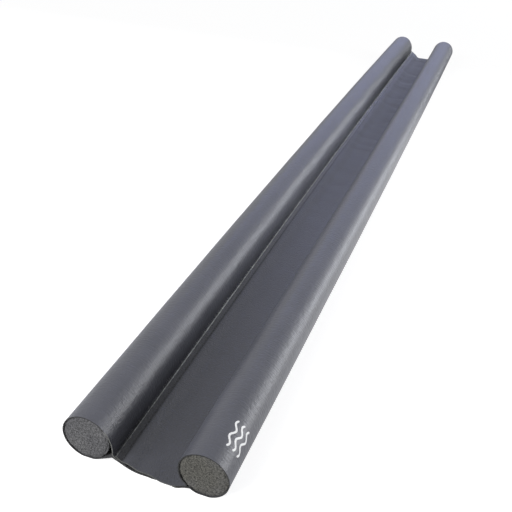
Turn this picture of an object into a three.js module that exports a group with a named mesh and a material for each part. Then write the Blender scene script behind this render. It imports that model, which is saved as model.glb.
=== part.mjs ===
// Double draught excluder for the gap under a door: two foam rods lie one on each side of the
// door, in the two sleeves of one folded sheet, and the web between the sleeves passes below it.
// Millimetres. X runs across the door, Y along it and Z up. The origin is on the floor, midway.

import * as THREE from 'three';

// Overall
const length = 950;             // along the door, cut to the width of its leaf
const tubeSpacing = 70;         // between the two rod axes

// Foam rods
const foamDiameter = 27.6;
const foamClearance = 0.3;      // all round, between a rod and the sheet
const foamInset = 0.5;          // each end face lies this far inside the sleeve
const floorFlatWidth = 5;       // where the sheet lies flat on the floor below each rod

// Cover sheet
const sheetThickness = 0.7;
const layerGap = 0.2;           // between two layers that are sewn together
const foldRadius = 0.7;         // of a tight fold, at mid sheet

// Sewn edge by the left rod, where three layers meet
const sleeveSlack = 1.5;        // how far the slack wall stands off the round of the rod
const slackStartAngle = 45;     // degrees above level at which that wall leaves the round
const slackWallTop = 11;        // height at which that wall hangs straight
const leftRootHeight = 7.2;     // of the fold where that wall turns under the web
const leftSlopeRun = 12.4;      // across, from that fold down to the floor
const flapLength = 9;           // of the edge that is tucked between the two web layers
const rawEdgeSetback = 2;       // from that wall to the cut edge of the upper web layer
const leftSeamAllowance = 3.6;  // from the cut edge to the row of stitches

// Sewn edge by the right rod, where two layers meet
const rightRootAngle = 32.5;    // degrees past the lowest point of the sleeve
const rightSlopeRun = 7.7;      // across, from that edge down to the floor
const rightSeamInset = 3.5;     // from that edge to the row of stitches

const footRadius = 24;          // of the bend in which either slope runs out on the floor

// Sewing thread, one strand above and one below in each row
const threadWidth = 0.5;
const threadHeight = 0.3;
const threadClearance = 0.3;    // between a strand and the sheet
const threadEndInset = 3;       // from the end of the sheet to the first stitch

// Drawing of the round stretches, in degrees where they are angles
const arcStep = 5;
const foldSteps = 5;
const sharpCorner = 20;         // a corner that turns by more than this is rounded as a fold

const halfSheet = sheetThickness / 2;
const layerPitch = sheetThickness + layerGap;
const midRadius = foamDiameter / 2 + foamClearance + halfSheet;
const outerRadius = midRadius + halfSheet;
const axisHeight = Math.sqrt(outerRadius ** 2 - (floorFlatWidth / 2) ** 2);
const leftAxis = new THREE.Vector2(-tubeSpacing / 2, axisHeight);
const rightAxis = new THREE.Vector2(tubeSpacing / 2, axisHeight);
const degree = Math.PI / 180;

const point = (x, z) => new THREE.Vector2(x, z);
const heading = (angle) => point(Math.cos(angle), Math.sin(angle));
const along = (start, direction, distance) => start.clone().addScaledVector(direction, distance);

// Points of a round, clockwise from one angle to a lower one.
function roundPoints(centre, radius, from, to) {
  const steps = Math.max(1, Math.round((from - to) / (arcStep * degree)));
  const points = [];
  for (let i = 0; i <= steps; i++) {
    points.push(along(centre, heading(from + ((to - from) * i) / steps), radius));
  }
  return points;
}

// A slope from a sewn edge down to the floor, at the mid line of the lowest layer. It is straight
// as far as bendStart, and then runs out in a bend. The side is 1 by the right rod, -1 by the left.
function slopeDown(start, fall, side) {
  const corner = (start.y - halfSheet) / Math.sin(fall);
  return {
    start,
    side,
    fall,
    direction: point(-side * Math.cos(fall), -Math.sin(fall)),
    normal: heading(Math.PI / 2 + side * fall),
    bendStart: corner - footRadius * Math.tan(fall / 2),
  };
}

// The point at a distance down a slope, on the given number of layers.
function laid(slope, distance, layers) {
  const { start, side, fall, direction, normal, bendStart } = slope;
  if (distance <= bendStart) {
    return along(along(start, direction, distance), normal, layers * layerPitch);
  }
  const centre = along(along(start, direction, bendStart), normal, footRadius);
  const level = heading(Math.PI / 2 + side * (fall - (distance - bendStart) / footRadius));
  return along(centre, level, layers * layerPitch - footRadius);
}

// Distances down a slope at which its bend is drawn.
function bendDistances({ bendStart, fall }) {
  const steps = Math.max(1, Math.round(fall / (arcStep * degree)));
  return Array.from({ length: steps + 1 }, (_, i) => bendStart + (footRadius * fall * i) / steps);
}

// Left slope
const slackWallX = leftAxis.x + midRadius + sleeveSlack;
const flapFold = point(slackWallX, leftRootHeight);
const leftFall = Math.atan2(leftRootHeight - layerPitch - halfSheet, leftSlopeRun);
const leftRoot = along(flapFold, heading(Math.PI / 2 - leftFall), -layerPitch);
const leftSlope = slopeDown(leftRoot, leftFall, -1);
const cutEdgeFromRoot = rawEdgeSetback / Math.cos(leftSlope.fall);

// Right slope
const rightRoundEnd = -Math.PI / 2 - rightRootAngle * degree;
const rightRoot = along(rightAxis, heading(rightRoundEnd), midRadius);
const rightFall = Math.atan2(rightRoot.y - halfSheet, rightSlopeRun);
const rightSlope = slopeDown(rightRoot, rightFall, 1);

// Angle from straight down at which a sleeve's round meets its flat.
const flatAngle = Math.acos((axisHeight - halfSheet) / midRadius);

// Angle on the right sleeve's round where the upper web layer meets it.
function upperRootAngle() {
  const upper = laid(rightSlope, 0, 1);
  const toAxis = upper.clone().sub(rightAxis);
  const middle = toAxis.dot(rightSlope.direction);
  const reach = Math.sqrt(middle ** 2 - toAxis.lengthSq() + midRadius ** 2);
  const meeting = along(upper, rightSlope.direction, reach - middle);
  return meeting.sub(rightAxis).angle() - 2 * Math.PI;
}

// Angle on the left sleeve's round where the lowest layer leaves it for the sewn edge.
function lowerTangentAngle() {
  const toRoot = leftSlope.start.clone().sub(leftAxis);
  return Math.atan2(toRoot.y, toRoot.x) - Math.acos(midRadius / toRoot.length());
}

// The slack wall of the left sleeve, from the round to where it hangs straight.
function slackWallPoints() {
  const leave = along(leftAxis, heading(slackStartAngle * degree), midRadius);
  const down = heading((slackStartAngle - 90) * degree);
  const bend = along(leave, down, (slackWallX - leave.x) / down.x);
  const curve = new THREE.QuadraticBezierCurve(leave, bend, point(slackWallX, slackWallTop));
  return curve.getPoints(8).slice(1);
}

// Upper web layer: from its cut edge by the left rod over the flap's end to the right slope.
function upperWebPoints() {
  const stepStart = flapLength + foldRadius;
  const stepEnd = stepStart + 2 * layerPitch;
  const bend = bendDistances(leftSlope);
  return [
    laid(leftSlope, cutEdgeFromRoot, 2),
    ...bend.filter((distance) => distance < stepStart).map((distance) => laid(leftSlope, distance, 2)),
    laid(leftSlope, stepStart, 2),
    laid(leftSlope, stepEnd, 1),
    ...bend.filter((distance) => distance > stepEnd).map((distance) => laid(leftSlope, distance, 1)),
    ...bendDistances(rightSlope).reverse().map((distance) => laid(rightSlope, distance, 1)),
  ];
}

// Mid line of the whole sheet, from the cut edge to the end of the tucked flap.
function sheetMidLine() {
  const flatStart = -Math.PI / 2 + flatAngle;
  const flatEnd = -Math.PI / 2 - flatAngle;
  const turn = 2 * Math.PI;
  return [
    ...upperWebPoints(),
    ...roundPoints(rightAxis, midRadius, upperRootAngle(), flatStart - turn),
    ...roundPoints(rightAxis, midRadius, flatEnd, rightRoundEnd),
    ...bendDistances(rightSlope).map((distance) => laid(rightSlope, distance, 0)),
    ...bendDistances(leftSlope).reverse().map((distance) => laid(leftSlope, distance, 0)),
    leftRoot,
    ...roundPoints(leftAxis, midRadius, lowerTangentAngle(), flatStart),
    ...roundPoints(leftAxis, midRadius, flatEnd, slackStartAngle * degree - turn),
    ...slackWallPoints(),
    flapFold,
    laid(leftSlope, Math.min(flapLength, leftSlope.bendStart), 1),
    laid(leftSlope, flapLength, 1),
  ];
}

// Rounds each corner that is a fold.
function roundedMidLine() {
  const line = sheetMidLine();
  const result = [line[0]];
  for (let i = 1; i < line.length - 1; i++) {
    const corner = line[i];
    const before = corner.clone().sub(line[i - 1]);
    const after = line[i + 1].clone().sub(corner);
    const turn = Math.atan2(before.cross(after), before.dot(after));
    if (Math.abs(turn) < sharpCorner * degree) {
      result.push(corner);
      continue;
    }
    const room = 0.9 * Math.min(before.length(), after.length());
    const reach = Math.min(foldRadius * Math.tan(Math.abs(turn) / 2), room);
    const enter = along(corner, before.normalize(), -reach);
    const leave = along(corner, after.normalize(), reach);
    result.push(...new THREE.QuadraticBezierCurve(enter, corner, leave).getPoints(foldSteps));
  }
  result.push(line.at(-1));
  return result;
}

// One face of the sheet: the mid line moved sideways by half the sheet, mitred at each corner.
function sheetFace(line, offset) {
  return line.map((at, i) => {
    const before = (i > 0 ? at.clone().sub(line[i - 1]) : line[1].clone().sub(at)).normalize();
    const after = (i < line.length - 1 ? line[i + 1].clone().sub(at) : before.clone()).normalize();
    const sum = before.clone().add(after);
    const normal = point(-sum.y, sum.x).normalize();
    const mitre = offset / Math.max(0.3, normal.dot(point(-before.y, before.x)));
    return along(at, normal, mitre);
  });
}

// A section drawn in X and Z, drawn out along Y.
function drawnOut(outline, depth) {
  const settings = { depth, bevelEnabled: false, curveSegments: 1 };
  const geometry = new THREE.ExtrudeGeometry(new THREE.Shape(outline), settings);
  geometry.rotateX(Math.PI / 2);
  geometry.translate(0, depth / 2, 0);
  return geometry;
}

function named(name, geometry, material) {
  const mesh = new THREE.Mesh(geometry, material);
  mesh.name = name;
  return mesh;
}

function coverSheet() {
  const leather = new THREE.MeshStandardMaterial({ color: 0x5c5d62, roughness: 0.45, metalness: 0 });
  const line = roundedMidLine();
  const outline = [...sheetFace(line, halfSheet), ...sheetFace(line, -halfSheet).reverse()];
  return named('cover', drawnOut(outline, length), leather);
}

// A round rod with a narrow flat where it bears on the sheet above the floor.
function foamCore(name, axis) {
  const foam = new THREE.MeshStandardMaterial({ color: 0x6a6b66, roughness: 0.95, metalness: 0 });
  const radius = foamDiameter / 2;
  const bearing = sheetThickness + foamClearance;
  const flat = Math.acos((axisHeight - bearing) / radius);
  const outline = roundPoints(axis, radius, -Math.PI / 2 - flat, flat - 2.5 * Math.PI);
  return named(name, drawnOut(outline, length - 2 * foamInset), foam);
}

// One strand of a row of stitches, on the upper or the lower side of the sewn layers.
function seamStrand(name, slope, distance, layers, side) {
  const thread = new THREE.MeshStandardMaterial({ color: 0x3a3b3f, roughness: 0.8, metalness: 0 });
  const strand = new THREE.BoxGeometry(threadWidth, length - 2 * threadEndInset, threadHeight);
  const mesh = named(name, strand, thread);
  const rise = side * (halfSheet + threadClearance + threadHeight / 2);
  const place = along(laid(slope, distance, layers), slope.normal, rise);
  mesh.position.set(place.x, 0, place.y);
  mesh.rotation.y = -slope.side * slope.fall;
  return mesh;
}

const excluder = new THREE.Group();
excluder.add(coverSheet());
excluder.add(foamCore('foam_core_left', leftAxis));
excluder.add(foamCore('foam_core_right', rightAxis));

const leftRow = cutEdgeFromRoot + leftSeamAllowance;
const rightRow = rightSeamInset / Math.cos(rightSlope.fall);
excluder.add(seamStrand('left_seam_needle_thread', leftSlope, leftRow, 2, 1));
excluder.add(seamStrand('left_seam_bobbin_thread', leftSlope, leftRow, 0, -1));
excluder.add(seamStrand('right_seam_needle_thread', rightSlope, rightRow, 1, 1));
excluder.add(seamStrand('right_seam_bobbin_thread', rightSlope, rightRow, 0, -1));

export default excluder;
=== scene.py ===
# Double draught excluder for the gap under a door. Two foam rods lie in the two sleeves of one
# folded faux-leather sheet, and the web between the sleeves passes under the door. Metres.
import math

import bpy
import numpy as np
from mathutils import Matrix, Vector, noise


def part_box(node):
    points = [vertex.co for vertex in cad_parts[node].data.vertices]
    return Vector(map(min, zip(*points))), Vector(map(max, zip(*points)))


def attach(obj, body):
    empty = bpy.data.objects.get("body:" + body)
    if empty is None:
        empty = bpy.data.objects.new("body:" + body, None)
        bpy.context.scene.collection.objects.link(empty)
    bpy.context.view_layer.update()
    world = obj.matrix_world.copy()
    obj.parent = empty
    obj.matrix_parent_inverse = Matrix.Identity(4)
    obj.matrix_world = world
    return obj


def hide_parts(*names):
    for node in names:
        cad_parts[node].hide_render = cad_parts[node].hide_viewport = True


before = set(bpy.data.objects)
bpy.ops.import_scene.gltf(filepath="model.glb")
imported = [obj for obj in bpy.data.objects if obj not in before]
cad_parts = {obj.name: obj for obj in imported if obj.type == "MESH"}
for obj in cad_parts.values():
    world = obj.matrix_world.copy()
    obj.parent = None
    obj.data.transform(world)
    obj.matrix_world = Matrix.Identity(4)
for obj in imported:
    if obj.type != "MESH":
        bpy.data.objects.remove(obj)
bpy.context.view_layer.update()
print("frame loaded with", len(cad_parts), "nodes")

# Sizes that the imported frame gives
rightLow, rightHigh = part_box("foam_core_right")
axisX = (rightLow.x + rightHigh.x) / 2
foamRadius = (rightHigh.x - rightLow.x) / 2
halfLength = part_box("cover")[1].y


# Node helpers. A value may be a number or another node's socket.

def addNode(tree, kind, inputs=None, **settings):
    node = tree.nodes.new(kind)
    for key, value in settings.items():
        setattr(node, key, value)
    for key, value in (inputs or {}).items():
        if isinstance(value, bpy.types.NodeSocket):
            tree.links.new(value, node.inputs[key])
        else:
            node.inputs[key].default_value = value
    return node


def mathNode(tree, operation, first, second=0.0):
    return addNode(tree, "ShaderNodeMath", {0: first, 1: second}, operation=operation).outputs[0]


def product(tree, first, *others):
    for factor in others:
        first = mathNode(tree, "MULTIPLY", first, factor)
    return first


def distanceFrom(tree, value, middle):
    return mathNode(tree, "ABSOLUTE", mathNode(tree, "SUBTRACT", value, middle))


def vectorNode(tree, operation, first, second):
    return addNode(tree, "ShaderNodeVectorMath", {0: first, 1: second}, operation=operation).outputs[0]


def scaled(tree, vector, factor):
    return addNode(tree, "ShaderNodeVectorMath", {0: vector, "Scale": factor}, operation="SCALE").outputs[0]


def rangeNode(tree, value, start, end, atStart=0.0, atEnd=1.0, **settings):
    return addNode(tree, "ShaderNodeMapRange", {
        "Value": value, "From Min": start, "From Max": end, "To Min": atStart, "To Max": atEnd,
    }, **settings).outputs[0]


def noiseNode(tree, vector, scale, detail, roughness=0.5, distortion=0.0, output="Fac"):
    return addNode(tree, "ShaderNodeTexNoise", {
        "Vector": vector, "Scale": scale, "Detail": detail, "Roughness": roughness,
        "Distortion": distortion,
    }).outputs[output]


def axesOf(tree, vector):
    return addNode(tree, "ShaderNodeSeparateXYZ", {0: vector}).outputs


def combined(tree, x=0.0, y=0.0, z=0.0):
    return addNode(tree, "ShaderNodeCombineXYZ", {0: x, 1: y, 2: z}).outputs[0]


def objectPlace(tree):
    return addNode(tree, "ShaderNodeTexCoord").outputs["Object"]


def sheetPlace(tree):
    return addNode(tree, "ShaderNodeUVMap", uv_map="sheetPlace").outputs["UV"]


def colorRamp(tree, factor, stops):
    ramp = addNode(tree, "ShaderNodeValToRGB", {"Fac": factor})
    elements = ramp.color_ramp.elements
    for place, (position, color) in enumerate(stops):
        element = elements[place] if place < 2 else elements.new(position)
        element.position = position
        element.color = (*color, 1)
    return ramp.outputs["Color"]


socketKinds = {float: "NodeSocketFloat", int: "NodeSocketInt", tuple: "NodeSocketVector"}


# Starts a node group, and returns it with the sockets of its inputs.
def newGroup(name, inputs, outputs=(), kind="ShaderNodeTree"):
    tree = bpy.data.node_groups.new(name, kind)
    if kind == "GeometryNodeTree":
        for side in ("INPUT", "OUTPUT"):
            tree.interface.new_socket("Geometry", in_out=side, socket_type="NodeSocketGeometry")
    for label, value in inputs.items():
        socket = tree.interface.new_socket(label, in_out="INPUT", socket_type=socketKinds[type(value)])
        socket.default_value = value
    for label in outputs:
        tree.interface.new_socket(label, in_out="OUTPUT", socket_type="NodeSocketFloat")
    return tree, tree.nodes.new("NodeGroupInput").outputs


# Materials

def newMaterial(name):
    material = bpy.data.materials.new(name)
    material.use_nodes = True
    material.node_tree.nodes.clear()
    return material, material.node_tree


def finishMaterial(tree, color, roughness, height, depth, specular=0.5, normal=None):
    bump = addNode(tree, "ShaderNodeBump", {"Height": height, "Distance": depth})
    if normal:
        tree.links.new(normal, bump.inputs["Normal"])
    surface = addNode(tree, "ShaderNodeBsdfPrincipled", {
        "Base Color": color,
        "Roughness": roughness,
        "Specular IOR Level": specular,
        "Normal": bump.outputs["Normal"],
    })
    addNode(tree, "ShaderNodeOutputMaterial", {"Surface": surface.outputs["BSDF"]})


grain = {
    "pebbleScale": 1250.0,
    "creaseScale": 900.0,
    "creaseStretch": (0.26, 1.0, 1.0),
    "creaseShare": (0.75, 0.35),      # on the sleeves, on the web
    "warpScale": 240.0,
    "warp": (0.0012, 0.0012, 0.0012),
    "patchScale": 34.0,
}


# Embossed grain of faux leather: pebbles, and fine creases that run round the rods.
def makeGrainGroup():
    tree, given = newGroup("fauxLeatherGrain", {
        "Vector": (0.0, 0.0, 0.0), "Crease Share": grain["creaseShare"][0]}, ("Height", "Patches"))
    vector, share = given["Vector"], given["Crease Share"]
    warp = noiseNode(tree, vector, grain["warpScale"], 2.0, output="Color")
    slide = vectorNode(tree, "MULTIPLY", vectorNode(tree, "SUBTRACT", warp, (0.5, 0.5, 0.5)), grain["warp"])
    bent = vectorNode(tree, "ADD", vector, slide)
    pebbles = addNode(tree, "ShaderNodeTexVoronoi", {"Vector": bent, "Scale": grain["pebbleScale"]},
                      feature="SMOOTH_F1")
    stretched = vectorNode(tree, "MULTIPLY", bent, grain["creaseStretch"])
    creases = noiseNode(tree, stretched, grain["creaseScale"], 1.0)
    domes = mathNode(tree, "SUBTRACT", 1.0, pebbles.outputs["Distance"])
    domeHeight = product(tree, domes, mathNode(tree, "SUBTRACT", 1.0, share))
    addNode(tree, "NodeGroupOutput", {
        "Height": mathNode(tree, "ADD", product(tree, creases, share), domeHeight),
        "Patches": noiseNode(tree, vector, grain["patchScale"], 3.0),
    })
    return tree


# Short tangled fibres, for knit backing, cut edges, fray and thread.
def makeFibreGroup():
    tree, given = newGroup("tangledFibre", {"Vector": (0.0, 0.0, 0.0), "Fibre Scale": 1500.0},
                           ("Height", "Speckle"))
    addNode(tree, "NodeGroupOutput", {
        "Height": noiseNode(tree, given["Vector"], given["Fibre Scale"], 4.0, distortion=1.5),
        "Speckle": noiseNode(tree, given["Vector"], 420.0, 2.0),
    })
    return tree


grainGroup = makeGrainGroup()
fibreGroup = makeFibreGroup()

# Places are distances on the flat sheet: across from the cut edge, along from the near end.
# Tones are factors on the colour that paint light and shade.
leather = {
    "dark": (0.060, 0.062, 0.074),
    "light": (0.072, 0.074, 0.088),
    "sleevePaintedLight": 1.18,
    "webAcross": (0.014, 0.026),
    "webPaintedShade": (0.93, 0.80),
    "rowAlong": (0.12, 0.32),
    "seamShadeDepth": (0.35, 0.92),
    "rowWidth": (0.0001, 0.0005),
    "stripAcross": (0.0043, 0.0057),
    "stripShadingSteps": ((0.02, 0.26), (0.12, 0.48), (0.30, 0.85), (0.45, 1.12), (0.62, 1.5), (0.90, 1.3)),
    "wallAcross": (-0.004, 0.007),    # from the start of the slack wall
    "wallShadingSteps": ((0.03, 0.55), (0.14, 1.0), (0.32, 1.9), (0.54, 2.2), (0.74, 1.1), (0.92, 0.6)),
    "farHalf": (0.30, 0.62),
    "puckerAt": 0.0022,
    "puckerReach": 0.0014,
    "puckerScale": (420.0, 230.0, 1.0),
    "puckerFrom": 0.56,
    "puckerShade": 0.35,
    "wrinkleSlant": 0.08,
    "wrinkleScale": (9.0, 20.0),
    "wrinkleWidth": 0.12,
    "wrinkleDepth": 0.0075,
    "wrinkleAcross": (0.006, 0.026),
    "wrinkleLeast": 0.35,
    "roughness": (0.33, 0.43),
    "wrinkleRoughness": 0.14,
    "darkRoughness": 0.35,
    "grainDepth": 0.00040,
    "specular": 0.42,
}


# Painted light and shade that change along the sheet. The ramp holds half of it, because a ramp ends at 1.
def paintedShadingAlong(tree, along, tones):
    halves = colorRamp(tree, along, [(place, (tone / 2, tone / 2, tone / 2)) for place, tone in tones])
    return product(tree, halves, 2.0)


# Gathers that run across the web: narrow valleys, a little slanted and uneven.
def wrinkleHeight(tree, across, along):
    slanted = mathNode(tree, "ADD", along, product(tree, across, leather["wrinkleSlant"]))
    scaleX, scaleY = leather["wrinkleScale"]
    spot = combined(tree, product(tree, across, scaleX), product(tree, slanted, scaleY))
    valleys = distanceFrom(tree, noiseNode(tree, spot, 1.0, 1.3), 0.5)
    return mathNode(tree, "MINIMUM", valleys, leather["wrinkleWidth"])


def leatherMaterial():
    material, tree = newMaterial("fauxLeather")
    place = sheetPlace(tree)
    across, along, _ = axesOf(tree, place)
    inWeb = mathNode(tree, "LESS_THAN", across, webEnd)
    farHalf = rangeNode(tree, along, *leather["farHalf"])
    share = rangeNode(tree, inWeb, 0.0, 1.0, *grain["creaseShare"])
    embossed = addNode(tree, "ShaderNodeGroup", {"Vector": place, "Crease Share": share},
                       node_tree=grainGroup).outputs
    tone = colorRamp(tree, embossed["Patches"], [(0.3, leather["dark"]), (0.7, leather["light"])])

    # Painted shade along the line of the left row of stitches, fading toward the far end
    seamShadeDepth = rangeNode(tree, along, *leather["rowAlong"], *leather["seamShadeDepth"])
    fromRow = distanceFrom(tree, across, sheet["leftSeamAllowance"])
    paintedRowShade = rangeNode(tree, fromRow, *leather["rowWidth"], seamShadeDepth)
    # Painted shade on the near part of the strip from the row to the cut edge, turning to painted light on
    # its far part
    pastStrip = rangeNode(tree, across, *leather["stripAcross"])
    paintedStripShading = paintedShadingAlong(tree, along, leather["stripShadingSteps"])
    paintedSeamShading = product(tree, paintedRowShade, rangeNode(tree, pastStrip, 0.0, 1.0, paintedStripShading))

    # Painted light on the sleeves, and painted shade on the web that deepens toward the valley
    shadeTowardValley = rangeNode(tree, across, *leather["webAcross"], *leather["webPaintedShade"])
    sleeveLightAndWebShade = rangeNode(tree, inWeb, 0.0, 1.0, leather["sleevePaintedLight"], shadeTowardValley)
    # Painted shade at the two ends of the slack wall and painted light along its middle
    inWall = rangeNode(tree, across, *(wallStart + reach for reach in leather["wallAcross"]))
    paintedWallShading = rangeNode(tree, inWall, 0.0, 1.0, 1.0, paintedShadingAlong(tree, along, leather["wallShadingSteps"]))

    # Painted pucker shadows: dark spots on the far half of the strip
    spots = noiseNode(tree, vectorNode(tree, "MULTIPLY", place, leather["puckerScale"]), 1.0, 1.0)
    fromStrip = distanceFrom(tree, across, leather["puckerAt"])
    puckerShadowMask = product(tree, mathNode(tree, "LESS_THAN", fromStrip, leather["puckerReach"]), farHalf,
                      mathNode(tree, "GREATER_THAN", spots, leather["puckerFrom"]), leather["puckerShade"])
    outsidePuckerShadow = mathNode(tree, "SUBTRACT", 1.0, puckerShadowMask)
    color = scaled(tree, tone, product(tree, paintedSeamShading, sleeveLightAndWebShade, outsidePuckerShadow, paintedWallShading))

    # Gathers on the far half of the web
    towardRight = rangeNode(tree, across, *leather["wrinkleAcross"], leather["wrinkleLeast"])
    gathered = product(tree, inWeb, farHalf, towardRight)
    wrinkles = addNode(tree, "ShaderNodeBump", {
        "Strength": gathered, "Height": wrinkleHeight(tree, across, along),
        "Distance": leather["wrinkleDepth"]})
    rough = rangeNode(tree, embossed["Patches"], 0.0, 1.0, *leather["roughness"])
    rough = mathNode(tree, "ADD", rough, product(tree, gathered, leather["wrinkleRoughness"]))
    duller = product(tree, mathNode(tree, "SUBTRACT", 1.0, paintedSeamShading), leather["darkRoughness"])
    finishMaterial(tree, color, mathNode(tree, "ADD", rough, duller), embossed["Height"],
                   leather["grainDepth"], leather["specular"], wrinkles.outputs["Normal"])
    return material


fibreLooks = {
    "knitBacking": {
        "dark": (0.025, 0.025, 0.027), "light": (0.055, 0.055, 0.058), "roughness": 0.95,
        "depth": 0.0002, "onSheet": True},
    "cutEdgeLight": {
        "dark": (0.055, 0.056, 0.053), "light": (0.13, 0.132, 0.127), "roughness": 0.9, "depth": 0.0001},
    # The cut edge again, darkened by painted shade, for cut edges that lie in shadow
    "cutEdgePaintedShade": {
        "dark": (0.012, 0.012, 0.013), "light": (0.03, 0.03, 0.032), "roughness": 0.9, "depth": 0.0001},
    # The frayed edge takes painted shade toward the near end and painted light further along.
    "frayedEdge": {
        "dark": (0.20, 0.205, 0.205), "light": (0.42, 0.435, 0.43), "roughness": 0.95, "depth": 0.0002,
        "stops": (0.35, 0.65), "shadeAndLightAlongY": (-0.47, -0.35, 0.45, 1.95)},
    "sewingThread": {
        "dark": (0.020, 0.021, 0.024), "light": (0.040, 0.041, 0.046), "roughness": 0.7,
        "depth": 0.00008, "fibreScale": 3800.0},
}


# The last argument is a range of Y and the tones at its two ends: painted shade at the near end that turns
# to painted light further along.
def fibreMaterial(name, dark, light, roughness, depth, fibreScale=1500.0, stops=(0.3, 0.7),
                  onSheet=False, shadeAndLightAlongY=None):
    material, tree = newMaterial(name)
    place = sheetPlace(tree) if onSheet else objectPlace(tree)
    fibre = addNode(tree, "ShaderNodeGroup", {"Vector": place, "Fibre Scale": fibreScale},
                    node_tree=fibreGroup).outputs
    color = colorRamp(tree, fibre["Speckle"], [(stops[0], dark), (stops[1], light)])
    if shadeAndLightAlongY:
        color = scaled(tree, color, rangeNode(tree, axesOf(tree, place)["Y"], *shadeAndLightAlongY))
    finishMaterial(tree, color, roughness, fibre["Height"], depth)
    return material


foamLooks = {
    "left": {"name": "foamGrey", "dark": (0.016, 0.016, 0.017), "light": (0.172, 0.172, 0.178),
             "tint": (0.80, 0.80, 0.82)},
    "right": {"name": "foamOlive", "dark": (0.012, 0.012, 0.0115), "light": (0.158, 0.156, 0.150),
              "tint": (0.82, 0.81, 0.74)},
}


def foamMaterial(name, dark, light, tint):
    material, tree = newMaterial(name)
    place = objectPlace(tree)
    cells = addNode(tree, "ShaderNodeTexVoronoi", {"Vector": place, "Scale": 1100.0}).outputs["Distance"]
    bubbles = noiseNode(tree, place, 950.0, 4.0, roughness=0.75)
    blotch = noiseNode(tree, place, 75.0, 2.0)
    tone = colorRamp(tree, bubbles, [(0.36, dark), (0.64, light)])
    patch = colorRamp(tree, blotch, [(0.35, (1, 1, 1)), (0.65, tint)])
    color = addNode(tree, "ShaderNodeMix", {0: 1.0, 6: tone, 7: patch},
                    data_type="RGBA", blend_type="MULTIPLY").outputs[2]
    finishMaterial(tree, color, 0.92, mathNode(tree, "ADD", cells, bubbles), 0.0003)
    return material


def inkMaterial():
    material, tree = newMaterial("whiteInk")
    wear = noiseNode(tree, objectPlace(tree), 900.0, 3.0)
    color = colorRamp(tree, wear, [(0.25, (0.78, 0.78, 0.79)), (0.5, (0.90, 0.90, 0.90))])
    finishMaterial(tree, color, 0.5, wear, 0.00005)
    return material


# Sizes of the sheet. Angles are in degrees, and each "Across" is where in X a change starts, is
# full, starts to end and has ended.
sheet = {
    "thickness": 0.0007,
    "overFoam": 0.001,
    "layerGap": 0.0002,
    "foldRadius": 0.0007,
    "wallFoldRadius": 0.0030,
    "floorFlat": 0.005,
    "floorClear": 0.00004,
    "sleeveSlack": 0.0015,
    "slackStart": 45,
    "slackWallTop": 0.011,
    "leftRootHeight": 0.0072,
    "leftSlopeRun": 0.0124,
    "footRadius": 0.024,
    "flapLength": 0.009,
    "flapEase": 0.008,
    "rawEdgeSetback": 0.0012,
    "frayedWidth": 0.0013,
    "leftSeamAllowance": 0.0040,
    "rightRootAngle": 32.5,
    "rightSlopeRun": 0.0077,
    "rightSeamInset": 0.0035,
    "valleyReach": 0.003,
    "valleyTurn": 13,
    "arcStep": 5,
    "bendStep": 0.0011,
    "sharpCorner": 20,
    "webStep": 0.0022,
    "rowStep": 0.0061,
    "farRowStep": 0.0039,
    "endRows": (0.0005, 0.0014, 0.0030),
    "spread": 0.00127,
    "spreadFrom": 0.02,
    "bend": -0.00050,
    "farPinch": 0.0020,
    "webLow": (0.012, 0.007),
    "farTrim": 0.012,
    "farTrimReach": 0.05,
    "farTrimAcross": (-0.017, -0.001, 0.016, 0.026),
    "nearReach": 0.02,
    "nearRecess": 0.0013,
    "nearRecessAcross": (0.004, 0.010, 0.012, 0.022),
    "nearLap": 0.0014,
    "nearLapAcross": (0.002, 0.012, 0.018, 0.024),
    "nearLift": 0.0008,
    "nearLiftAcross": (-0.014, -0.006, 0.004, 0.010),
    "lightEdgeTo": 0.019,
}


# Section of the sheet, as complex numbers: across is real, up is imaginary.

def heading(angle):
    return complex(math.cos(angle), math.sin(angle))


def roundPoints(centre, radius, first, last):
    steps = max(1, round((first - last) / math.radians(sheet["arcStep"])))
    return [centre + radius * heading(first + (last - first) * i / steps) for i in range(steps + 1)]


half = sheet["thickness"] / 2
layerPitch = sheet["thickness"] + sheet["layerGap"]
sleeveRadius = foamRadius + sheet["overFoam"]
midRadius = sleeveRadius - half
axisHeight = math.sqrt(sleeveRadius ** 2 - (sheet["floorFlat"] / 2) ** 2)
leftAxis = complex(-axisX, axisHeight)
rightAxis = complex(axisX, axisHeight)
slackWallX = -axisX + midRadius + sheet["sleeveSlack"]


# A slope from a sewn edge down to the floor, at the mid line of the lowest layer. It is straight
# as far as bendStart, and then runs out in a bend. The side is 1 by the right rod, -1 by the left.
def slopeDown(start, fall, side):
    bendStart = (start.imag - half) / math.sin(fall) - sheet["footRadius"] * math.tan(fall / 2)
    return {
        "start": start,
        "side": side,
        "fall": fall,
        "direction": complex(-side * math.cos(fall), -math.sin(fall)),
        "normal": heading(math.pi / 2 + side * fall),
        "bendStart": bendStart,
        "end": bendStart + sheet["footRadius"] * fall,
    }


# The point at a distance down a slope, on the given number of layers.
def laid(slope, distance, layers):
    lift = layers * layerPitch
    reach = min(distance, slope["bendStart"])
    base = slope["start"] + reach * slope["direction"]
    if distance <= slope["bendStart"]:
        return base + lift * slope["normal"]
    turned = slope["fall"] - (distance - slope["bendStart"]) / sheet["footRadius"]
    level = heading(math.pi / 2 + slope["side"] * turned)
    return base + sheet["footRadius"] * slope["normal"] + (lift - sheet["footRadius"]) * level


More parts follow.
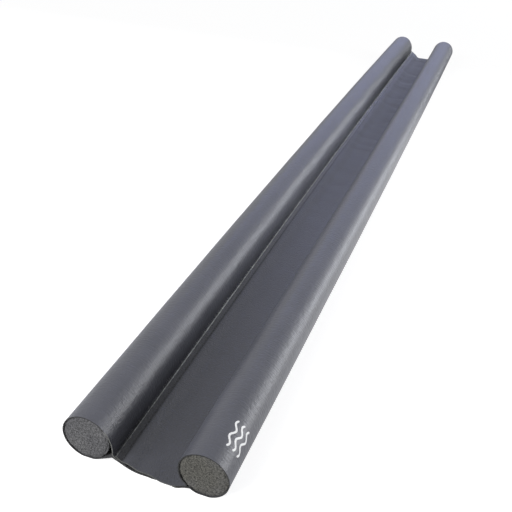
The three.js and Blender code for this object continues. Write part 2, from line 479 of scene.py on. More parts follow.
flapFold = complex(slackWallX, sheet["leftRootHeight"])
leftFall = math.atan2(sheet["leftRootHeight"] - layerPitch - half, sheet["leftSlopeRun"])
leftSlope = slopeDown(flapFold - layerPitch * heading(math.pi / 2 - leftFall), leftFall, -1)
rightRoundEnd = -math.pi / 2 - math.radians(sheet["rightRootAngle"])
rightRoot = rightAxis + midRadius * heading(rightRoundEnd)
rightSlope = slopeDown(rightRoot, math.atan2(rightRoot.imag - half, sheet["rightSlopeRun"]), 1)

rawEdgeAt = sheet["rawEdgeSetback"] / math.cos(leftFall)
leftRowAt = rawEdgeAt + sheet["leftSeamAllowance"]
rightRowAt = sheet["rightSeamInset"] / math.cos(rightSlope["fall"])


def upperRootAngle():
    upper = laid(rightSlope, 0, 1)
    toAxis = upper - rightAxis
    middle = (toAxis * rightSlope["direction"].conjugate()).real
    reach = math.sqrt(middle ** 2 - abs(toAxis) ** 2 + midRadius ** 2)
    meeting = upper + (reach - middle) * rightSlope["direction"] - rightAxis
    return math.atan2(meeting.imag, meeting.real)


def lowerTangentAngle():
    toRoot = leftSlope["start"] - leftAxis
    return math.atan2(toRoot.imag, toRoot.real) - math.acos(midRadius / abs(toRoot))


def bezier(first, bend, last, count):
    return [(1 - t) ** 2 * first + 2 * t * (1 - t) * bend + t * t * last
            for t in (i / count for i in range(count + 1))]


def slackWall():
    leave = leftAxis + midRadius * heading(math.radians(sheet["slackStart"]))
    down = heading(math.radians(sheet["slackStart"] - 90))
    bend = leave + down * (slackWallX - leave.real) / down.real
    return bezier(leave, bend, complex(slackWallX, sheet["slackWallTop"]), 8)[1:]


def smoothStep(low, high, value):
    t = np.clip((value - low) / (high - low), 0, 1)
    return t * t * (3 - 2 * t)


# 1 between full and ease, falling to 0 at start and end.
def within(value, start, full, ease, end):
    return smoothStep(start, full, value) * smoothStep(end, ease, value)


# The upper layer passes over the flap and comes down to the lower layer beyond its end.
def layersBelow(distance):
    flapEnd = sheet["flapLength"] + 0.0003
    return 2 - float(smoothStep(flapEnd, flapEnd + sheet["flapEase"], distance))


def slopeStations(slope, first):
    count = math.ceil((slope["end"] - first) / sheet["bendStep"])
    return [first + (slope["end"] - first) * i / count for i in range(count + 1)]


# Mid line of the sheet as corners, from the cut edge to the end of the tucked flap, each with
# the stretch that it belongs to.
def sheetCorners():
    turn = 2 * math.pi
    flat = math.acos((axisHeight - half) / midRadius)
    flatStart, flatEnd = -math.pi / 2 + flat, -math.pi / 2 - flat
    leftUpper = [rawEdgeAt, rawEdgeAt + sheet["frayedWidth"] / 2]
    leftUpper += slopeStations(leftSlope, rawEdgeAt + sheet["frayedWidth"])
    rightDown = slopeStations(rightSlope, rightSlope["bendStart"])
    leftDown = slopeStations(leftSlope, leftSlope["bendStart"])
    upper = [laid(leftSlope, d, layersBelow(d)) for d in leftUpper]
    upper += [laid(rightSlope, d, 1) for d in reversed(rightDown) if d >= sheet["valleyReach"]]
    rightStart = upperRootAngle() - math.radians(sheet["valleyTurn"])
    right = roundPoints(rightAxis, midRadius, rightStart, flatStart - turn)
    root = rightAxis + midRadius * heading(upperRootAngle())
    upper += bezier(laid(rightSlope, sheet["valleyReach"], 1), root, right[0], 6)[:-1]
    rightEnd = roundPoints(rightAxis, midRadius, flatEnd, rightRoundEnd)
    lower = [laid(rightSlope, d, 0) for d in rightDown]
    lower += [laid(leftSlope, d, 0) for d in reversed(leftDown)]
    left = roundPoints(leftAxis, midRadius, lowerTangentAngle(), flatStart)
    left += roundPoints(leftAxis, midRadius, flatEnd, math.radians(sheet["slackStart"]) - turn)
    flapStations = (min(sheet["flapLength"], leftSlope["bendStart"]), sheet["flapLength"])
    stretches = [
        ("upperWeb", upper + right[:1]),
        ("rightSleeve", right[1:] + rightEnd[:-1]),
        ("lowerWeb", rightEnd[-1:] + lower + [leftSlope["start"]]),
        ("leftSleeve", left),
        ("slackWall", slackWall() + [flapFold]),
        ("flap", [laid(leftSlope, d, 1) for d in flapStations]),
    ]
    return [(point, name) for name, points in stretches for point in points]


# Rounds each corner that is a fold.
def roundedLine():
    corners = sheetCorners()
    line = [corners[0]]
    for (before, _), (corner, name), (after, _) in zip(corners, corners[1:], corners[2:]):
        into, out = corner - before, after - corner
        turned = abs(np.angle(out / into))
        if turned < math.radians(sheet["sharpCorner"]):
            line.append((corner, name))
            continue
        radius = sheet["wallFoldRadius"] if corner == flapFold else sheet["foldRadius"]
        reach = min(radius * math.tan(turned / 2), 0.9 * min(abs(into), abs(out)))
        arc = bezier(corner - reach * into / abs(into), corner, corner + reach * out / abs(out), 5)
        line += [(p, name) for p in arc]
    line.append(corners[-1])
    return line


# The mid line with its long straight stretches divided, as arrays.
def sectionLine():
    line = roundedLine()
    points, names = [line[0][0]], [line[0][1]]
    for (last, _), (point, name) in zip(line, line[1:]):
        parts = max(1, math.ceil(abs(point - last) / sheet["webStep"]))
        for i in range(1, parts + 1):
            points.append(last + (point - last) * i / parts)
            names.append(name)
    return np.array(points), np.array(names)


section, stretch = sectionLine()
spans = np.diff(section)
girth = np.concatenate([[0], np.cumsum(np.abs(spans))])
webEnd = float(girth[stretch == "upperWeb"][-1])
wallStart = float(girth[stretch == "slackWall"][0])
print("sheet's flat width %.1f mm, %d columns" % (girth[-1] * 1000, len(section)))


# Sideways direction of each column, lengthened at corners so that the thickness holds.
def columnNormals():
    headings = spans / np.abs(spans)
    before = np.concatenate([headings[:1], headings])
    after = np.concatenate([headings, headings[-1:]])
    middle = before + after
    middle /= np.abs(middle)
    normal = middle * 1j
    mitre = 1 / np.maximum(0.6, (normal * np.conj(before * 1j)).real)
    return normal, mitre


normal, mitre = columnNormals()


def rowPlaces():
    ends = np.array(sheet["endRows"])
    inner = halfLength - ends[-1]
    near = np.linspace(-inner, 0, round(inner / sheet["rowStep"]) + 1)
    far = np.linspace(0, inner, round(inner / sheet["farRowStep"]) + 1)[1:]
    return np.concatenate([[-halfLength], -halfLength + ends[:-1], near, far,
                           halfLength - ends[-2::-1], [halfLength]])


rows = rowPlaces()


# How far a point of the section moves sideways at a place along the rods: they lie slightly bowed
# apart and draw together at the far end.
def drift(x, y):
    t = (y + halfLength) / (2 * halfLength)
    arch = 4 * t * (1 - t)
    side = np.clip(x / sheet["spreadFrom"], -1, 1)
    return sheet["bend"] * arch + side * (sheet["spread"] * arch - sheet["farPinch"] * t ** 3)


def noiseGrid(across, along):
    across, along = np.broadcast_arrays(across, along)
    flat = [noise.noise(Vector((a, b, 0.37))) for a, b in zip(across.ravel(), along.ravel())]
    return np.array(flat).reshape(across.shape)


# Heights and lengths of the sheet's waves. Most grow from the near half to the far half.
drape = {
    "farHalf": (-0.30, 0.30),
    "sleeveWave": 0.00016,
    "sleeveWaveSize": (0.0375, 0.06),
    "fineWave": 0.00006,
    "fineWaveSize": (0.030, 0.009),
    "wallWave": 0.0005,
    "wallWaveLength": 0.07,
    "wallRise": 0.004,
    "webWave": 0.0005,
    "webWaveNear": 0.18,
    "webWaveLength": 0.017,
    "webWaveWidth": (0.045, 0.022),
    "webWaveSlant": 0.2,
    "webWaveEase": (0.0006, 0.006, 0.012),
    "seamGroove": 0.00012,
    "seamGrooveWidth": 0.0006,
    "seamPuff": 0.0006,
    "seamPuffAt": 0.0034,
    "seamPuffWidth": (0.0016, 0.0065),
    "edgeCurl": 0.0005,
    "wanderLength": 0.018,
    "tick": 0.00022,
    "tickLength": 0.008,
    "tickAt": -0.0016,
    "tickWidth": 0.0012,
}


def bell(distance, width):
    return np.exp(-(distance / width) ** 2)


# How far each grid point stands off the plain section, along its column's normal.
def drapeOffsets():
    along, across = np.meshgrid(rows, girth, indexing="ij")
    farHalf = smoothStep(*drape["farHalf"], along)
    waveSize, fineSize = drape["sleeveWaveSize"], drape["fineWaveSize"]
    wave = noiseGrid(across / waveSize[0], along / waveSize[1])
    fine = noiseGrid(across / fineSize[0] + 40, along / fineSize[1])
    sleeves = np.isin(stretch, ("rightSleeve", "leftSleeve"))
    offset = sleeves * (drape["sleeveWave"] * (wave + 0.5) + drape["fineWave"] * fine * farHalf)

    wallRise = smoothStep(0.0, drape["wallRise"], section.imag - sheet["leftRootHeight"])
    wallWave = drape["wallWave"] * noiseGrid(7, along / drape["wallWaveLength"])
    offset += (stretch == "slackWall") * wallRise * wallWave

    # The web: ridges between the rods, and a puff, a groove and a curl along the left row
    past = across - sheet["leftSeamAllowance"]
    wander = noiseGrid(21, along / drape["wanderLength"])
    groove = bell(past, drape["seamGrooveWidth"])
    puffWidth = np.where(past < drape["seamPuffAt"], *drape["seamPuffWidth"])
    puff = bell(past - drape["seamPuffAt"], puffWidth) * smoothStep(0, 0.0008, past)
    curl = smoothStep(-0.0006, -sheet["leftSeamAllowance"], past)
    start, full, ease = drape["webWaveEase"]
    held = smoothStep(start, full, past) * smoothStep(0.0, ease, webEnd - across)
    slant = along + drape["webWaveSlant"] * across
    broad, narrow = drape["webWaveWidth"]
    ridges = noiseGrid(across / broad, slant / drape["webWaveLength"])
    small = noiseGrid(across / narrow + 9, slant / (0.45 * drape["webWaveLength"]))
    amount = drape["webWave"] * (drape["webWaveNear"] + (1 - drape["webWaveNear"]) * farHalf)
    lift = amount * held * np.maximum(0, 0.32 + ridges + 0.35 * small)
    ticks = drape["tick"] * farHalf * noiseGrid(3, along / drape["tickLength"])
    ticks = ticks * bell(past - drape["tickAt"], drape["tickWidth"])
    offset += (stretch == "upperWeb") * (
        lift + ticks + drape["seamPuff"] * puff * (0.9 + 0.4 * wander)
        + drape["edgeCurl"] * curl * (0.8 + 0.5 * wander) - drape["seamGroove"] * groove)
    return offset


# Grid of the sheet's mid surface, one row for each place along the rods.
def sheetGrid():
    offset = drapeOffsets()
    nearSpan = (sheet["nearReach"] - halfLength, -halfLength)
    gaping = within(section.real, *sheet["nearLiftAcross"]) * (stretch == "upperWeb")
    offset += sheet["nearLift"] * smoothStep(*nearSpan, rows)[:, None] * gaping
    flat = section + offset * normal
    y = np.repeat(rows[:, None], len(section), axis=1)
    x = flat.real + drift(flat.real, y)
    low = smoothStep(*sheet["webLow"], flat.imag)
    pull = smoothStep(halfLength - sheet["farTrimReach"], halfLength, y)
    y = y - sheet["farTrim"] * within(flat.real, *sheet["farTrimAcross"]) * low * pull
    tucked = np.isin(stretch, ("lowerWeb", "flap"))
    recess = sheet["nearRecess"] * tucked * within(flat.real, *sheet["nearRecessAcross"])
    lap = sheet["nearLap"] * within(flat.real, *sheet["nearLapAcross"]) * low
    y = y + (recess - lap) * smoothStep(*nearSpan, y)
    z = np.maximum(flat.imag, half + sheet["floorClear"])
    return np.stack([x, y, z], axis=-1)


grid = sheetGrid()
print("sheet draped over", len(rows), "rows")


def linked(name, data):
    thing = bpy.data.objects.new(name, data)
    bpy.context.scene.collection.objects.link(thing)
    return thing


# A new mesh piece. Edges sharper than the smoothTo angle stay sharp.
def newPiece(name, points, faces, materials=(), edges=(), smoothTo=None):
    mesh = bpy.data.meshes.new(name)
    mesh.from_pydata([tuple(p) for p in points], edges, faces)
    for material in materials:
        mesh.materials.append(material)
    if smoothTo:
        mesh.polygons.foreach_set("use_smooth", [True] * len(faces))
        mesh.set_sharp_from_angle(angle=math.radians(smoothTo))
    return linked(name, mesh)


# Faces between the points of a grid, and the same turned over.
def gridFaces(index):
    a, b, c, d = index[:-1, :-1], index[:-1, 1:], index[1:, 1:], index[1:, :-1]
    return [np.stack(corners, -1).reshape(-1, 4) for corners in ((a, b, c, d), (a, d, c, b))]


# Closed sheet: finished face, backing and four cut edges. The materials are the leather, the
# backing, the light cut edge, the frayed edge and a cut edge darkened by painted shade.
def coverPiece(materials):
    count, width = grid.shape[:2]
    side = np.stack([normal.real, np.zeros(width), normal.imag], axis=-1) * (mitre * half)[:, None]
    points = np.concatenate([(grid + side).reshape(-1, 3), (grid - side).reshape(-1, 3)])
    index = np.arange(count * width).reshape(count, width)
    back = index + count * width
    face, rear = gridFaces(index)
    edges = [(g[0], g[-1], g[:, 0], g[:, -1]) for g in (index, back)]
    near, far, raw, end = (np.stack([f[:-1], b[:-1], b[1:], f[1:]], -1) for f, b in zip(*edges))
    turned = [0, 3, 2, 1]
    groups = [face, rear + count * width, near, far[:, turned], raw[:, turned], end]
    kinds = np.concatenate([np.full(len(g), k) for g, k in zip(groups, (0, 1, 4, 4, 3, 3))])
    # Along the near end only the upper web and slack wall, left of the valley, keep the light cut edge; the
    # rest of the near cut edge and all the far cut edge take the copy darkened by painted shade.
    light = np.isin(stretch[:-1], ("slackWall", "upperWeb")) & (section.real[:-1] < sheet["lightEdgeTo"])
    kinds[len(face) + len(rear):][:width - 1][light] = 2
    kinds[:len(face)].reshape(count - 1, width - 1)[:, :1] = 3
    faces = np.concatenate(groups)
    piece = newPiece("cover_sheet", points, faces.tolist(), materials, smoothTo=50)
    piece.data.polygons.foreach_set("material_index", kinds.astype(np.int32))
    flatPlace = np.stack(np.meshgrid(girth, rows + halfLength), -1).reshape(-1, 2)
    place = np.concatenate([flatPlace, flatPlace])
    uv = piece.data.uv_layers.new(name="sheetPlace")
    uv.data.foreach_set("uv", place[faces.ravel()].astype(np.float32).ravel())
    return piece


# A point over the finished face, by its distance round the sheet and its row.
def surfacePoint(distance, y, lift):
    column = np.interp(distance, girth, np.arange(len(girth)))
    row = np.interp(y, rows, np.arange(len(rows)))
    i, j = min(int(column), len(girth) - 2), min(int(row), len(rows) - 2)
    s, t = column - i, row - j
    place = ((1 - s) * (1 - t) * grid[j, i] + s * (1 - t) * grid[j, i + 1]
             + (1 - s) * t * grid[j + 1, i] + s * t * grid[j + 1, i + 1])
    out = (1 - s) * normal[i] + s * normal[i + 1]
    out /= abs(out)
    return Vector(place) + Vector((out.real, 0, out.imag)) * (half + lift)


foam = {
    "rings": 44,
    "sideRows": 24,
    "cell": 0.00085,
    "cellDepth": 0.00022,
    "inset": -0.0004,
    "rimReach": 0.003,
    "edgeRound": 0.0021,
    "edgeCrumble": 0.0004,
    "edgeShrink": -0.0001,
}


# Square laid on a disc, so that a rod's cut face is an even grid.
def discPlaces(count):
    u, v = np.meshgrid(*[np.linspace(-1, 1, count)] * 2)
    return u * np.sqrt(1 - v * v / 2), v * np.sqrt(1 - u * u / 2)


# Radius of the foam in a direction, with the flat that it lies on.
def foamOutline(angle):
    flat = axisHeight - rightLow.z
    return np.minimum(foamRadius, flat / np.maximum(1e-6, -np.sin(angle)))


def skin(last, current):
    return list(zip(last, last[1:] + last[:1], current[1:] + current[:1], current))


# A rod with granular cut faces and slightly crumbled rims, cut as one closed mesh.
def foamPiece(name, side, seed, material):
    count = 2 * foam["rings"] + 1
    x, z = discPlaces(count)
    radius, angle = np.hypot(x, z), np.arctan2(z, x)
    outline = foamOutline(angle)
    px, pz = x * outline, z * outline
    rim = smoothStep(1 - foam["edgeRound"] / foamRadius, 1.0, radius)
    spots = zip((x * foamRadius / foam["cell"]).ravel(), (z * foamRadius / foam["cell"]).ravel())
    cells = np.array([noise.voronoi(Vector((a, b, seed)))[0][0] for a, b in spots]).reshape(x.shape)
    pits = foam["cellDepth"] * (cells - 0.35)
    crumble = foam["edgeCrumble"] * rim * (1 + noiseGrid(angle * 6 + seed, radius * 3))
    foamEnd = rightHigh.y
    shrink = 1 - foam["edgeShrink"] / foamRadius

    def centreAt(y):
        return side * axisX + drift(side * axisX, y)

    points = []
    for sign in (-1, 1):
        y = sign * (foamEnd - foam["inset"] - pits - crumble)
        points += zip((px * shrink + centreAt(sign * foamEnd)).ravel(), y.ravel(),
                      (pz * shrink + axisHeight).ravel())
    number = np.arange(count * count).reshape(count, count)
    front, rear = gridFaces(number)
    faces = front.tolist() + (rear + count * count).tolist()
    ring = np.concatenate([number[0], number[1:, -1], number[-1, -2::-1], number[-2:0:-1, 0]])
    last = ring.tolist()
    inner = foamEnd - foam["rimReach"]
    for y in np.linspace(-inner, inner, foam["sideRows"]):
        current = list(range(len(points), len(points) + len(ring)))
        points += [(a + centreAt(y), y, b + axisHeight) for a, b in zip(px.flat[ring], pz.flat[ring])]
        faces += skin(last, current)
        last = current
    faces += skin(last, (ring + count * count).tolist())
    return newPiece(name, points, faces, [material], smoothTo=40)


# What grows on a path: stitches and frayed fibres

def spacedPath(tree, given, spacing):
    path = addNode(tree, "GeometryNodeMeshToCurve", {"Mesh": given["Geometry"]})
    return addNode(tree, "GeometryNodeResampleCurve", {"Curve": path.outputs[0], "Length": given[spacing]},
                   mode="LENGTH").outputs[0]


def bentTube(tree, start, middle, end, radius, sides):
    line = addNode(tree, "GeometryNodeCurveQuadraticBezier", {
        "Resolution": sides, "Start": start, "Middle": middle, "End": end})
    profile = addNode(tree, "GeometryNodeCurvePrimitiveCircle", {"Resolution": sides, "Radius": radius})
    return addNode(tree, "GeometryNodeCurveToMesh", {
        "Curve": line.outputs[0], "Profile Curve": profile.outputs[0], "Fill Caps": True}).outputs[0]


def aimed(tree, main, mainAxis, other, otherAxis):
    return addNode(tree, "FunctionNodeAxesToRotation", {"Primary Axis": main, "Secondary Axis": other},
                   primary_axis=mainAxis, secondary_axis=otherAxis).outputs[0]


def realCopies(tree, points, shape, aim, size=(1.0, 1.0, 1.0)):
    placed = addNode(tree, "GeometryNodeInstanceOnPoints", {
        "Points": points, "Instance": shape, "Rotation": aim, "Scale": size})
    return addNode(tree, "GeometryNodeRealizeInstances", {"Geometry": placed.outputs[0]}).outputs[0]


def closeTree(tree, geometry, material):
    done = addNode(tree, "GeometryNodeSetMaterial", {"Geometry": geometry, "Material": material})
    addNode(tree, "NodeGroupOutput", {"Geometry": done.outputs[0]})
    return tree


stitch = {
    "pitch": 0.003,
    "length": 0.0028,
    "threadRadius": 0.00024,
    "sink": -1.2,                     # of the thread's radius
    "arch": 0.00022,
    "endInset": 0.003,
    "lift": 0.00003,
    "scatter": 0.00008,
    "scatterShape": (1.0, 1.0, 0.4),
    "up": (0.0, 0.0, 1.0),
    "seed": 4,
}


# Stitches on a path: one short arched thread on each pitch, its ends sunk in the sheet.
def stitchTree(material):
    sizes = ("pitch", "length", "threadRadius", "arch", "scatter", "up", "seed")
    tree, given = newGroup("rowOfStitches", {size: stitch[size] for size in sizes}, kind="GeometryNodeTree")
    halfStitch = product(tree, given["length"], 0.5)
    sunk = product(tree, given["threadRadius"], stitch["sink"])
    first, last = (combined(tree, x, z=sunk) for x in (product(tree, halfStitch, -1.0), halfStitch))
    middle = combined(tree, z=product(tree, given["arch"], 2.0))
    thread = bentTube(tree, first, middle, last, given["threadRadius"], 6)
    tangent = addNode(tree, "GeometryNodeInputTangent").outputs[0]
    aim = aimed(tree, tangent, "X", given["up"], "Z")
    top = scaled(tree, stitch["scatterShape"], given["scatter"])
    jitter = addNode(tree, "FunctionNodeRandomValue", {
        0: scaled(tree, top, -1.0), 1: top, "Seed": given["seed"]}, data_type="FLOAT_VECTOR")
    moved = addNode(tree, "GeometryNodeSetPosition", {
        "Geometry": spacedPath(tree, given, "pitch"), "Offset": jitter.outputs[0]})
    real = realCopies(tree, moved.outputs[0], thread, aim)
    smooth = addNode(tree, "GeometryNodeSetShadeSmooth", {"Geometry": real})
    return closeTree(tree, smooth.outputs[0], material)


fray = {
    "spacing": 0.0010,
    "length": 0.0014,
    "radius": 0.00007,
    "bend": (0.35, 0.55),             # aside at the tip and up at the middle, of the length
    "leanFrom": (-0.9, -0.7, -0.5),
    "leanTo": (0.1, 0.7, 0.3),
    "sizes": (0.1, 1.4),
    "out": (-0.75, 0.0, 0.65),
    "lift": -0.0002,
    "seed": 9,
}


# Frayed fibres on a path: thin bent hairs that lean out of the cut edge.
def frayTree(material):
    sizes = ("spacing", "length", "radius", "out", "seed")
    tree, given = newGroup("frayedFibres", {size: fray[size] for size in sizes}, kind="GeometryNodeTree")
    aside, up = (product(tree, given["length"], part) for part in fray["bend"])
    tip = combined(tree, aside, z=given["length"])
    hair = bentTube(tree, (0.0, 0.0, 0.0), combined(tree, z=up), tip, given["radius"], 3)
    lean = addNode(tree, "FunctionNodeRandomValue", {
        0: fray["leanFrom"], 1: fray["leanTo"], "Seed": given["seed"]}, data_type="FLOAT_VECTOR")
    outward = vectorNode(tree, "ADD", lean.outputs[0], given["out"])
    aim = aimed(tree, outward, "Z", (0.0, 1.0, 0.0), "X")
    least, most = fray["sizes"]
    size = addNode(tree, "FunctionNodeRandomValue", {2: least, 3: most, "Seed": given["seed"]},
                   data_type="FLOAT").outputs[1]
    return closeTree(tree, realCopies(tree, spacedPath(tree, given, "spacing"), hair, aim, size), material)


# Runs a tree on a path of points and returns the result as a plain mesh piece.
def grownPiece(name, path, tree, **inputs):
    carrier = newPiece(name + "_path", path, [], edges=[(i, i + 1) for i in range(len(path) - 1)])
    modifier = carrier.modifiers.new("grow", "NODES")
    modifier.node_group = tree
    for item in tree.interface.items_tree:
        if item.in_out == "INPUT" and item.name in inputs:
            modifier[item.identifier] = inputs[item.name]
    seen = carrier.evaluated_get(bpy.context.evaluated_depsgraph_get())
    result = bpy.data.meshes.new_from_object(seen)
    bpy.data.objects.remove(carrier)
    return linked(name, result)


# A line along the sheet, at a distance round it.
def pathAlong(distance, lift, inset=0.0):
    places = np.linspace(-halfLength + inset, halfLength - inset, 240)
    return [surfacePoint(distance, y, lift) for y in places]


# Distance round the sheet of the column whose mid line lies nearest to a point of the section.
def girthNear(point, name):
    far = np.where(stretch == name, np.abs(section - point), 1.0)
    return girth[int(np.argmin(far))]


mark = {
    "centreAngle": 47,
    "centreAlong": 0.0225,
    "waves": 3,
    "samples": 72,
    "gap": 0.0042,
    "length": 0.019,
    "height": 0.0011,
    "periods": 2,
    "stroke": 0.0012,
    "roundEnd": 3,                    # samples
    "ink": 0.00005,
    "lift": 0.00003,
}


# Three printed waves: thin closed ribbons of ink on the right sleeve.
def markPiece(material):
    points, faces = [], []
    right = np.where(stretch == "rightSleeve")[0]
    angle = np.angle(section[right] - rightAxis)
    centre = girth[right[int(np.argmin(np.abs(angle - math.radians(mark["centreAngle"]))))]]
    samples = mark["samples"]
    for wave in range(mark["waves"]):
        across = centre + (wave - (mark["waves"] - 1) / 2) * mark["gap"]
        line = []
        for t in (i / samples for i in range(samples + 1)):
            rise = mark["height"] * math.sin(2 * math.pi * mark["periods"] * t)
            line.append((across + rise, mark["centreAlong"] + (t - 0.5) * mark["length"]))
        base = len(points)
        for i, (u, v) in enumerate(line):
            after, before = line[min(i + 1, samples)], line[max(i - 1, 0)]
            du, dv = after[0] - before[0], after[1] - before[1]
            size = math.hypot(du, dv)
            endness = min(1.0, min(i, samples - i) / mark["roundEnd"])
            width = mark["stroke"] / 2 * math.sqrt(max(0.0, 1 - (1 - endness) ** 2) + 0.02)
            for sign in (-1, 1):
                spot = (u - sign * dv / size * width, v + sign * du / size * width)
                for lift in (mark["lift"], mark["lift"] + mark["ink"]):
                    points.append(surfacePoint(spot[0], spot[1] - halfLength, lift))
        for a in range(base, base + 4 * samples, 4):
            b = a + 4
            faces += [(a + 1, a + 3, b + 3, b + 1), (a, b, b + 2, a + 2),
                      (a, a + 1, b + 1, b), (a + 2, b + 2, b + 3, a + 3)]
        last = base + 4 * samples
        faces += [(base, base + 2, base + 3, base + 1), (last, last + 1, last + 3, last + 2)]
    return newPiece("printed_waves", points, faces, [material], smoothTo=30)


camera = {
    "place": (0.13896, -0.71564, 0.30389),
    "right": (0.93731, 0.34546, 0.04582),
    "up": (-0.21338, 0.46500, 0.85921),
    "lens": 50.372,
    "sensor": 36,
    "shiftX": -0.0009,
    "clip": (0.01, 50),
}


def makeCamera():
    data = bpy.data.cameras.new("camera")
    data.lens = camera["lens"]
    data.sensor_width = camera["sensor"]
    data.shift_x = camera["shiftX"]
    data.clip_start, data.clip_end = camera["clip"]
    right = Vector(camera["right"]).normalized()
    back = right.cross(Vector(camera["up"]).normalized()).normalized()
    turn = Matrix((right, back.cross(right), back)).transposed()
    body = linked("camera", data)
    body.matrix_world = Matrix.Translation(camera["place"]) @ turn.to_4x4()
    bpy.context.scene.camera = body


# Place, size, power and colour of each lamp. All point at the middle of the object.
lamps = {
    "keyFrontLeft": ((-0.9, -1.5, 0.9), (1.2, 0.8), 37.0, (1, 1, 1)),
    "panelRight": ((1.5, 0.45, 0.38), (0.9, 0.6), 12.0, (1, 1, 1)),
    "panelRightRear": ((1.2, 1.35, 0.33), (0.9, 0.6), 13.0, (0.90, 0.93, 1)),
    "panelRightHigh": ((1.2, 0.8, 1.0), (1.4, 0.8), 5.0, (1, 1, 1)),
    "coolBack": ((-0.2, 2.6, 0.9), (2.4, 0.7), 7.5, (0.22, 0.32, 1)),
}


def areaLamp(name, place, size, power, color):
    data = bpy.data.lights.new(name, "AREA")
    data.shape = "RECTANGLE"
    data.size, data.size_y = size
    data.energy = power
    data.color = color
    turn = (-Vector(place)).to_track_quat("-Z", "Y").to_matrix()
    linked(name, data).matrix_world = Matrix.Translation(place) @ turn.to_4x4()


# White is what the camera sees, gloss what reflections see, and a span is in Y. A brighter patch
# lies beside the right rod, and the horizon has a dark gap.
studio = {
    "worldStrength": 0.20,
    "floorReach": 12,
    "floorColor": (0.60, 0.60, 0.60),
    "farSpan": (0.05, 0.45),
    "farFloor": 0.12,
    "floorWhite": (0.76, 0.94),
    "whiteReach": (0.6, 2.4),
    "glossSpan": (0.35, 0.85),
    "floorGloss": (0.33, 0.10),
    "patchAt": -0.10,
    "patchReach": (0.20, 0.45),
    "patchAcross": (0.035, 0.065),
    "patchGloss": 0.85,
    "horizonRise": (0.02, 0.28),
    "horizonGloss": 0.65,
    "gapAt": 0.22,
    "gapReach": (0.05, 0.17),
    "gapGloss": 0.0,
}


# Strength for rays from the camera, and for those that a mirror or glass sends on.
def seenStrength(tree, white, gloss):
    path = addNode(tree, "ShaderNodeLightPath").outputs
    sent = mathNode(tree, "MAXIMUM", path["Is Glossy Ray"], path["Is Transmission Ray"])
    return mathNode(tree, "MAXIMUM", product(tree, path["Is Camera Ray"], white), product(tree, sent, gloss))


def makeFloor():
    material, tree = newMaterial("paleFloor")
    spot = objectPlace(tree)
    x, y, _ = axesOf(tree, spot)
    darker = rangeNode(tree, y, *studio["farSpan"], 1.0, studio["farFloor"])
    diffuse = addNode(tree, "ShaderNodeBsdfDiffuse", {"Color": scaled(tree, studio["floorColor"], darker)})
    nearWhite = rangeNode(tree, y, *studio["farSpan"], *studio["floorWhite"])
    away = addNode(tree, "ShaderNodeVectorMath", {0: spot}, operation="LENGTH").outputs["Value"]
    white = rangeNode(tree, away, *studio["whiteReach"], nearWhite, interpolation_type="SMOOTHSTEP")
    fromPatch = distanceFrom(tree, y, studio["patchAt"])
    alongRod = rangeNode(tree, fromPatch, *studio["patchReach"], studio["patchGloss"], 0.0,
                         interpolation_type="SMOOTHSTEP")
    patch = product(tree, rangeNode(tree, x, *studio["patchAcross"]), alongRod)
    plain = rangeNode(tree, y, *studio["glossSpan"], *studio["floorGloss"])
    gloss = mathNode(tree, "ADD", patch, plain)
    glow = addNode(tree, "ShaderNodeEmission", {"Strength": seenStrength(tree, white, gloss)})
    both = addNode(tree, "ShaderNodeAddShader", {0: diffuse.outputs[0], 1: glow.outputs[0]})
    addNode(tree, "ShaderNodeOutputMaterial", {"Surface": both.outputs[0]})
    reach = studio["floorReach"]
    corners = [(-reach, -reach, 0), (reach, -reach, 0), (reach, reach, 0), (-reach, reach, 0)]
    floor = newPiece("floor", corners, [(0, 1, 2, 3)], [material])


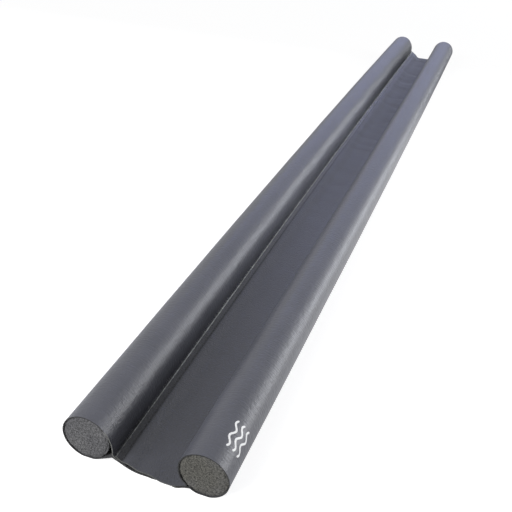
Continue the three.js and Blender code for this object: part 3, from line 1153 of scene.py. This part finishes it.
def makeWorld():
    world = bpy.data.worlds.new("studio")
    world.use_nodes = True
    tree = world.node_tree
    tree.nodes.clear()
    x, _, z = axesOf(tree, addNode(tree, "ShaderNodeTexCoord").outputs["Generated"])
    fromGap = distanceFrom(tree, x, studio["gapAt"])
    horizon = rangeNode(tree, fromGap, *studio["gapReach"], studio["gapGloss"], studio["horizonGloss"],
                        interpolation_type="SMOOTHSTEP")
    sky = rangeNode(tree, z, *studio["horizonRise"], horizon)
    lit, seen = (addNode(tree, "ShaderNodeBackground", {"Color": (1, 1, 1, 1), "Strength": strength})
                 for strength in (studio["worldStrength"], 1.0))
    both = addNode(tree, "ShaderNodeMixShader", {
        0: seenStrength(tree, 1.0, sky), 1: lit.outputs[0], 2: seen.outputs[0]})
    addNode(tree, "ShaderNodeOutputWorld", {"Surface": both.outputs[0]})
    bpy.context.scene.world = world


makeCamera()
makeWorld()
makeFloor()
for name, lamp in lamps.items():
    areaLamp(name, *lamp)
bpy.context.scene.view_settings.view_transform = "Standard"
print("camera, floor and lamps in place")

fibreMaterials = {name: fibreMaterial(name, **look) for name, look in fibreLooks.items()}
edges = [fibreMaterials[name] for name in ("knitBacking", "cutEdgeLight", "frayedEdge", "cutEdgePaintedShade")]
cover = coverPiece([leatherMaterial(), *edges])
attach(cover, "root")
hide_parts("cover")
print("cover made,", len(cover.data.polygons), "faces")

for name, side, seed in (("left", -1, 3), ("right", 1, 11)):
    rod = foamPiece("foam_rod_" + name, side, seed, foamMaterial(**foamLooks[name]))
    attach(rod, "root")
    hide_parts("foam_core_" + name)
print("foam rods made")

stitches = stitchTree(fibreMaterials["sewingThread"])
for name, slope, rowAt in (("left", leftSlope, leftRowAt), ("right", rightSlope, rightRowAt)):
    upper = girthNear(laid(slope, rowAt, 1), "upperWeb") if name == "right" else sheet["leftSeamAllowance"]
    lower = girthNear(laid(slope, rowAt, 0), "lowerWeb")
    for part, distance, sign in (("needle", upper, 1), ("bobbin", lower, -1)):
        path = pathAlong(distance, stitch["lift"], stitch["endInset"])
        up = (sign * slope["normal"].real, 0.0, sign * slope["normal"].imag)
        strand = grownPiece(name + "_seam_" + part + "_stitches", path, stitches, up=up)
        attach(strand, "root")
        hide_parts(name + "_seam_" + part + "_thread")
print("stitches sewn")

hairs = frayTree(fibreMaterials["frayedEdge"])
fibres = grownPiece("frayed_fibres", pathAlong(0.0, fray["lift"]), hairs, out=fray["out"])
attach(fibres, "root")

waves = markPiece(inkMaterial())
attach(waves, "root")
print("fray and printed waves made")
